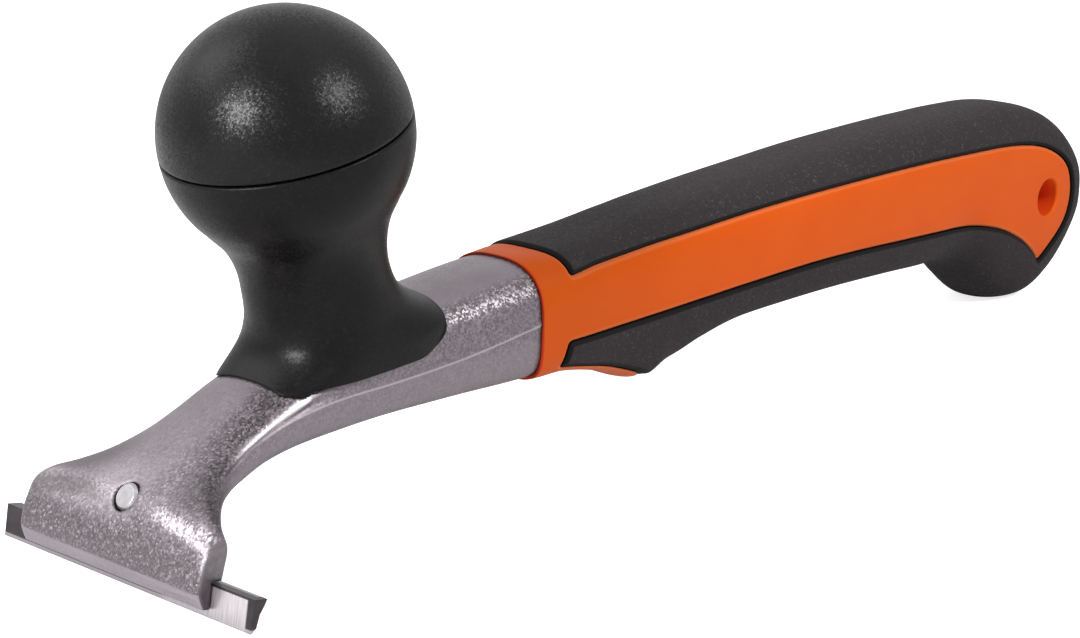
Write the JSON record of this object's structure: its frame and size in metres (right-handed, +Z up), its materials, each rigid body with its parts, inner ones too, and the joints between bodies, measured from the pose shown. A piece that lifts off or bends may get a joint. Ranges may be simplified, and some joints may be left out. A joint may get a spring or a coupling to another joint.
{
  "type": "carbide paint scraper",
  "caption": "Pull scraper with a cast aluminium head, a screw-clamped carbide blade, a black palm knob and an orange plastic handle under a black rubber cover.",
  "frame": {"origin": "middle of the footprint, on the surface that the cutting edge and the handle's hook stand on", "axes": "+X from the handle to the blade, +Y to the tool's left side, +Z up"},
  "size_m": [0.2962, 0.065, 0.0938],
  "materials": {
    "cast_aluminium": "shot-blasted casting, ground bright at the lip",
    "carbide": "dark sintered carbide with ground faces",
    "steel": "plain machined steel",
    "black_plastic": "fine-grained moulded plastic",
    "orange_plastic": "satin moulded plastic",
    "grip_rubber": "matt sand-textured thermoplastic rubber"
  },
  "bodies": {
    "root": {"head_casting": "cast_aluminium", "knob_body": "black_plastic", "knob_cap": "black_plastic", "knob_bolt": "steel", "knob_washer": "steel", "handle_core": "orange_plastic", "grip_rubber": "grip_rubber"},
    "blade": {"carbide_blade": "carbide"},
    "jaw": {"clamp_jaw": "steel", "clamp_washer": "steel"},
    "screw": {"clamp_screw": "steel"}
  },
  "joints": [
    {"name": "blade_slide", "type": "slide", "parent": "root", "child": "blade", "axis": [0, 1, 0], "range_m": [-0.0133, 0.0107]},
    {"name": "jaw_open", "type": "slide", "parent": "root", "child": "jaw", "axis": [-0.848, 0, -0.5299], "range_m": [0, 0.002]},
    {"name": "screw_turn", "type": "hinge", "parent": "jaw", "child": "screw", "pos_m": [0.13562, -0.0013, 0.00957], "axis": [-0.848, 0, -0.5299], "range_deg": [0, 900]}
  ],
  "couplings": [
    {"joint": "screw_turn", "follows": "jaw_open", "rad_per_m": 7854}
  ]
}
